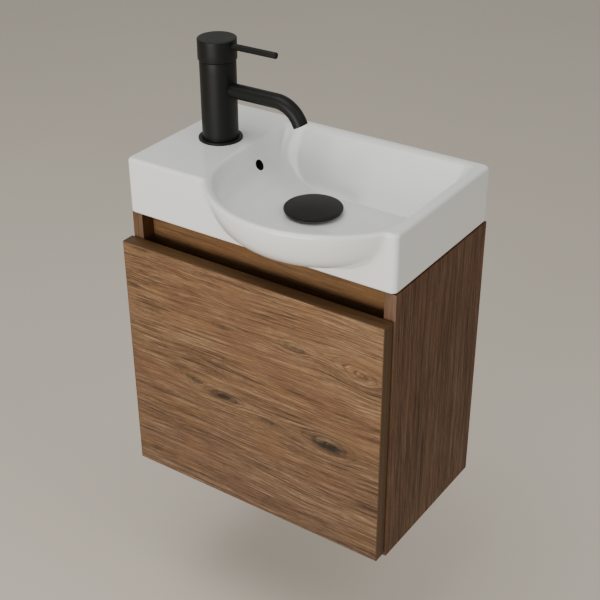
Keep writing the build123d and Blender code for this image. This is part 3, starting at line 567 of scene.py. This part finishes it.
def basin_mesh():
    base = list(np.radians(np.arange(0, 360, 0.5)))
    for px, py in ((-200, 0), (200, 0), (-200, -231), (200, -231)):
        a = math.atan2(py - C0[1], px - C0[0])
        base += [a + math.radians(d) for d in np.arange(-2.6, 2.61, 0.13)]
    for px in (-75.5, 184.7):
        a = math.atan2(-231 - C0[1], px - C0[0])
        base += [a + math.radians(d) for d in np.arange(-2.0, 2.01, 0.2)]
    ang = np.unique(np.round(np.mod(np.array(base), 2 * np.pi), 5))
    n = len(ang)
    one = np.ones(n)
    rows = []                                       # list of (r array, z array)

    def wall(z, off=0.0):
        s = section_at(inner, z)
        return hit(lambda x, y: section_f(x, y, s, off), ang)

    def side(z, inset=0.0):
        return hit(lambda x, y: outline_f(x, y, z, inset), ang)

    floor = wall(-60.0)
    for t in (0.12, 0.3, 0.5, 0.7, 0.86, 0.95):
        rows.append((floor * t, -60.0 * one))
    tin = 5.0
    for s in np.linspace(0, 1, 46) ** 1.75:
        z = -60.0 + (60.0 - tin) * s
        rows.append((wall(z), z * one))
    r0 = wall(0.0)
    fac = wall(0.0, 1.0) - r0
    lip = bezier((rows[-1][0], -tin * one), (r0, 0 * one), (r0 + 5.0 * fac, 0 * one), 9)
    rows += lip[1:]
    ro = side(0.0)
    fao = ro - side(0.0, 1.0)
    edge0 = ro - 5.0 * fao
    for t in (0.06, 0.2, 0.4, 0.6, 0.8, 0.94):
        a = r0 + 5.0 * fac
        rows.append((a + (edge0 - a) * t, 0 * one))
    rows += bezier((edge0, 0 * one), (ro, 0 * one), (side(-5.0), -5.0 * one), 9)
    levels = list(np.arange(-7, -56, -2.0)) + list(np.arange(-56, -74.0, -0.75))
    for z in levels:
        rows.append((side(z), z * one))
    rb = side(-77.0)
    fab = rb - side(-77.0, 1.0)
    rows += bezier((rb, -74.0 * one), (rb, -77.0 * one), (rb - 3.0 * fab, -77.0 * one), 5)
    rs = hit(skirt_f, ang)
    rows.append((rs, -77.0 * one))
    # underside: up the skirt, then across the deck or down the shell of the bowl
    zs = np.linspace(-12.0, -71.0, 40)
    shell = np.array([hit(lambda x, y, s=section_at(outer, z): section_f(x, y, s), ang) for z in zs])
    top = np.full(n, -12.0)
    for i in range(n):
        over = np.where(shell[:, i] >= rs[i])[0]
        if len(over):
            k = over[-1]
            if k + 1 < len(zs):
                a, b = shell[k, i], shell[k + 1, i]
                top[i] = zs[k] + (zs[k + 1] - zs[k]) * (a - rs[i]) / max(a - b, 1e-6)
            else:
                top[i] = zs[-1]
    for t in np.linspace(0.1, 1.0, 8):
        rows.append((rs.copy(), -77.0 + (top + 77.0) * t))
    prof = []
    for i in range(n):
        pts = [(rs[i], top[i])]
        for k, z in enumerate(zs):
            if shell[k, i] < rs[i] - 0.2 and z <= top[i] + 1e-9:
                pts.append((shell[k, i], z))
        p = np.array(pts)
        seg = np.r_[0, np.cumsum(np.hypot(*np.diff(p, axis=0).T))]
        q = np.linspace(0, seg[-1], 34)[1:]
        prof.append(np.c_[np.interp(q, seg, p[:, 0]), np.interp(q, seg, p[:, 1])])
    prof = np.array(prof)
    for k in range(prof.shape[1]):
        rows.append((prof[:, k, 0], prof[:, k, 1]))
    last_r, last_z = rows[-1]
    for t in (0.7, 0.4, 0.15):
        rows.append((last_r * t, last_z))
    ca, sa = np.cos(ang), np.sin(ang)
    verts = [np.c_[C0[0] + r * ca, C0[1] + r * sa, z + TOP] for r, z in rows]
    v = np.vstack([np.array([[C0[0], C0[1], TOP - 60.0]]), *verts, np.array([[C0[0], C0[1], TOP - 71.0]])]) * MM
    faces = []
    m = len(rows)
    idx = lambda k, i: 1 + k * n + i % n
    for i in range(n):
        faces.append((0, idx(0, i), idx(0, i + 1)))
        faces.append((1 + m * n, idx(m - 1, i + 1), idx(m - 1, i)))
    for k in range(m - 1):
        for i in range(n):
            faces.append((idx(k, i), idx(k + 1, i), idx(k + 1, i + 1), idx(k, i + 1)))
    return v, faces


TX, TY = -136.8, -113.2
WX, WY = 22.0, -131.5
FLOOR = TOP - 60.0


def cutter(name, start, direction, radius, length, steps=64):
    me = bpy.data.meshes.new(name)
    bm = bmesh.new()
    bmesh.ops.create_cone(bm, cap_ends=True, segments=steps, radius1=radius * MM, radius2=radius * MM, depth=length * MM)
    turn = Vector((0, 0, 1)).rotation_difference(Vector(direction)).to_matrix().to_4x4()
    shift = Matrix.Translation(Vector(start) * MM + Vector(direction).normalized() * length * MM / 2)
    bmesh.ops.transform(bm, matrix=shift @ turn, verts=bm.verts)
    bm.to_mesh(me)
    bm.free()
    ob = bpy.data.objects.new(name, me)
    scene.collection.objects.link(ob)
    return ob


v, faces = basin_mesh()
basin = new_object("basin_glazed", v, faces, "ceramic", "cabinet", ("basin",), smooth_angle=50.0)
cuts = [
    cutter("cut_waste", (WX, WY, 20), (0, 0, 1), 23.0, 60),
    cutter("cut_tap", (TX, TY, 90), (0, 0, 1), 17.5, 60),
    cutter("cut_overflow", (-108, -105, TOP - 36), (0.963, 0.0, 0.25), 7.0, 45, 48),
]


def apply_cuts(ob, tools, angle):
    for c in tools:
        mod = ob.modifiers.new(c.name, "BOOLEAN")
        mod.operation = "DIFFERENCE"
        mod.solver = "EXACT"
        mod.object = c
    deps = bpy.context.evaluated_depsgraph_get()
    cut_mesh = bpy.data.meshes.new_from_object(ob.evaluated_get(deps))
    ob.modifiers.clear()
    ob.data = cut_mesh
    for c in tools:
        bpy.data.objects.remove(c)
    finish_mesh(ob.data, angle)


apply_cuts(basin, cuts, 50.0)

# thick collar round the waste hole and the rib that carries the overflow passage
lathe("basin_waste_collar", [(23.0, 0), (35.0, 0), (35.0, 9.0), (23.0, 9.0)], (WX, WY, 51.5), "ceramic", "cabinet", ())


def passage_rib():
    """Rib behind the overflow hole: an open-sided case round a dark passage."""
    x0, x1, y0, y1, z0, z1 = -119.0, -88.0, -122.0, -88.0, 52.0, TOP - 13.0
    t = 7.0
    slabs = [(x0, x0 + t, y0, y1, z0, z1), (x0 + t, x1, y0, y0 + t, z0, z1 - 3.0), (x0 + t, x1, y1 - t, y1, z0, z1 - 3.0),
             (x0 + t, x1, y0 + t, y1 - t, z0, z0 + 5.0), (x0 + t, x1 - 3.0, y0 + t, y1 - t, z1 - 4.0, z1 - 0.5)]
    return soft_box("basin_overflow_rib", slabs, "ceramic", "cabinet", (), bevel=0.001, segments=2)


passage_rib()

# --------------------------------------------------------------------- tap
Z = TOP
prof = [(24.05, 0.0), (29.0, 0.0)] + arc_points(28.9, 0.6, 0.5, -90, 0, 3)[1:] + \
       arc_points(28.3, 2.1, 1.1, 0, 90, 7) + [(25.2, 3.2)] + arc_points(24.9, 2.9, 0.3, 90, 180, 3) + [(24.05, 2.2)]
lathe("tap_flange_ring", prof, (TX, TY, Z), "tap_black", "cabinet", ("tap_base_ring",))

prof = [(0, -10.0), (16.0, -10.0), (16.5, -9.5), (16.5, 0.8), (23.6, 0.8), (24.0, 1.2)] + \
       [(24.0, h) for h in (20, 45, 70, 95)] + arc_points(23.2, 107.2, 0.8, 0, 90, 5) + [(18.4, 108.0), (18.0, 107.6), (18.0, 76.0), (0, 76.0)]
column = lathe("tap_column", prof, (TX, TY, Z), "tap_black", "cabinet", ("tap_body",))
holes = [cutter("hole_a", (TX - 4, TY - 8, Z - 12), (0, 0, 1), 4.5, 18, 40), cutter("hole_b", (TX - 4, TY + 8, Z - 12), (0, 0, 1), 4.5, 18, 40),
         cutter("hole_c", (TX + 9, TY, Z - 12), (0, 0, 1), 3.95, 20, 40)]
apply_cuts(column, holes, 35.0)

prof = [(24.4, 0.4)] + arc_points(25.0, 0.5, 0.6, -150, 0, 5) + [(25.6, 10.0), (25.6, 18.0)] + \
       arc_points(24.2, 25.6, 1.4, 0, 90, 8) + [(20.0, 27.0), (10.0, 27.0), (0, 27.0), (0, 15.4), (14.0, 12.2), (24.4, 5.2)]
lathe("tap_lever_cap", prof, (TX, TY, Z + 108.8), "tap_black", "tap_lever", ("lever_hub",))

prof = [(0, 13.2), (4.1, 13.2), (4.1, 40.0), (4.1, 70.0)] + \
       [(r, h) for h, r in [(p[0], p[1]) for p in arc_points(91.3, 3.4, 0.7, 90, 0, 5)]] + [(2.0, 92.0), (0, 92.0)]
lathe("tap_lever_bar", prof, (TX, TY, Z + 128.1), "tap_black", "tap_lever", ("lever_rod",), steps=64, axis="X")


def spout_mesh():
    """Round tube: straight out of the column, a bend, a short straight end."""
    bend_x, bend_r, turn, tip = 90.7, 38.6, math.radians(62.0), 6.0
    path = [((x, 0.0), (1.0, 0.0)) for x in np.linspace(18.0, bend_x, 10)]
    for a in np.linspace(0, turn, 34)[1:]:
        path.append(((bend_x + bend_r * math.sin(a), -bend_r * (1 - math.cos(a))), (math.cos(a), -math.sin(a))))
    (ex, ez), (dx, dz) = path[-1]
    for s in (2.0, 4.0, tip - 0.5):
        path.append(((ex + dx * s, ez + dz * s), (dx, dz)))
    end = (ex + dx * tip, ez + dz * tip)
    rings = [(p, d, 9.8) for p, d in path]
    for a in (30, 60, 90):
        s = tip - 0.5 + 0.5 * math.sin(math.radians(a))
        rings.append(((ex + dx * s, ez + dz * s), (dx, dz), 9.3 + 0.5 * math.cos(math.radians(a))))
    rings.append((end, (dx, dz), 8.4))
    rings.append(((end[0] - dx * 0.3, end[1] - dz * 0.3), (dx, dz), 8.0))
    back = (end[0] - dx * 5.0, end[1] - dz * 5.0)
    rings.append((back, (dx, dz), 8.0))
    verts, faces = [], []
    steps = 72
    for (px, pz), (tx, tz), r in rings:
        for k in range(steps):
            a = 2 * math.pi * k / steps
            cy, cn = r * math.cos(a), r * math.sin(a)
            verts.append(((TX + px - tz * cn) * MM, (TY + cy) * MM, (Z + 69.7 + pz + tx * cn) * MM))
    for i in range(len(rings) - 1):
        for k in range(steps):
            k2 = (k + 1) % steps
            faces.append((i * steps + k, i * steps + k2, (i + 1) * steps + k2, (i + 1) * steps + k))
    faces.append(tuple(reversed(range(steps))))
    faces.append(tuple(range((len(rings) - 1) * steps, len(rings) * steps)))
    return verts, faces


sv, sf = spout_mesh()
new_object("tap_spout_tube", sv, sf, "tap_black", "cabinet", ("tap_spout",))

# -------------------------------------------------------------------- waste
rise, edge, half = 7.0, 4.3, 37.2
crown = (half**2 + (rise - edge) ** 2) / (2 * (rise - edge))
prof = [(0, rise)] + [(r, rise - crown + math.sqrt(crown**2 - r * r)) for r in (6, 12, 18, 24, 29, 33, 35.4)] + \
       arc_points(36.3, 2.6, 2.0, 62, -20, 8) + arc_points(37.0, 1.0, 1.0, -10, -90, 4) + \
       [(35.2, 0.0), (34.6, 0.5), (34.6, 4.0), (0, 4.0)]
lathe("waste_dome", prof, (WX, WY, TOP - 55.5), "waste_black", "waste_plug", ("waste_cap",), steps=200)

# ---------------------------------------------------------------- furniture
x0, x1, y0, y1, z0, z1 = -202.3, 197.9, -248.0, -229.0, -341.8, 15.0
soft_box("door_edging", [(x0, x0 + 1.0, y0, y1, z0, z1), (x1 - 1.0, x1, y0, y1, z0, z1),
                         (x0 + 0.9, x1 - 0.9, y0 + 0.02, y1 - 0.02, z0, z0 + 1.0), (x0 + 0.9, x1 - 0.9, y0 + 0.02, y1 - 0.02, z1 - 1.0, z1)],
         "door_edge", "door", ("door_edge_bands",), bevel=0.0003)
soft_box("panel_edging", [(-200, -184, -227, -226, -347, 50), (184, 200, -227, -226, -347, 50),
                          (-184, 184, -227, -226, -347, -331)],
         "panel_edge", "cabinet", ("panel_edge_bands",), bevel=0.0003)

for name, ob in nodes.items():
    slot = slot_of[name]
    for i in range(max(1, len(ob.material_slots))):
        if not ob.material_slots:
            ob.data.materials.append(M[slot])
        else:
            ob.material_slots[i].material = M[slot]

# -------------------------------------------------------------------- stage
floor = Net("floor_plain")
floor.coords()
cloud = floor.noise(floor.object, scale=1.6, detail=4.0)
floor.surface(floor.mix(cloud, (0.58, 0.52, 0.44), (0.62, 0.56, 0.48)), 0.7)
me = bpy.data.meshes.new("floor")
me.from_pydata([(-20, -20, -0.569), (20, -20, -0.569), (20, 20, -0.569), (-20, 20, -0.569)], [], [(0, 1, 2, 3)])
me.materials.append(floor.mat)
ob = bpy.data.objects.new("floor", me)
scene.collection.objects.link(ob)

world = bpy.data.worlds.new("studio")
scene.world = world
world.use_nodes = True
bg = world.node_tree.nodes["Background"]
bg.inputs[0].default_value = (0.96, 0.955, 0.93, 1.0)
bg.inputs[1].default_value = 0.50


def soft_light(name, direction, distance, size, power, color=(1, 1, 1), size_y=None):
    data = bpy.data.lights.new(name, "AREA")
    data.shape = "RECTANGLE"
    data.size = size
    data.size_y = size_y or size
    data.energy = power
    data.color = color
    ob = bpy.data.objects.new(name, data)
    scene.collection.objects.link(ob)
    d = Vector(direction).normalized()
    target = Vector((0.0, -0.12, 0.05))
    ob.location = target + d * distance
    ob.rotation_euler = d.to_track_quat("Z", "Y").to_euler()
    return ob


soft_light("key", (-0.14, -0.30, 0.93), 2.2, 1.6, 23.5, (1.0, 0.985, 0.95), 1.3)
soft_light("front", (0.02, -0.99, 0.06), 2.7, 1.8, 60.0, (1.0, 0.985, 0.95), 0.95)
soft_light("right", (0.72, -0.10, 0.68), 2.4, 1.2, 9.0, (0.99, 0.985, 0.97))
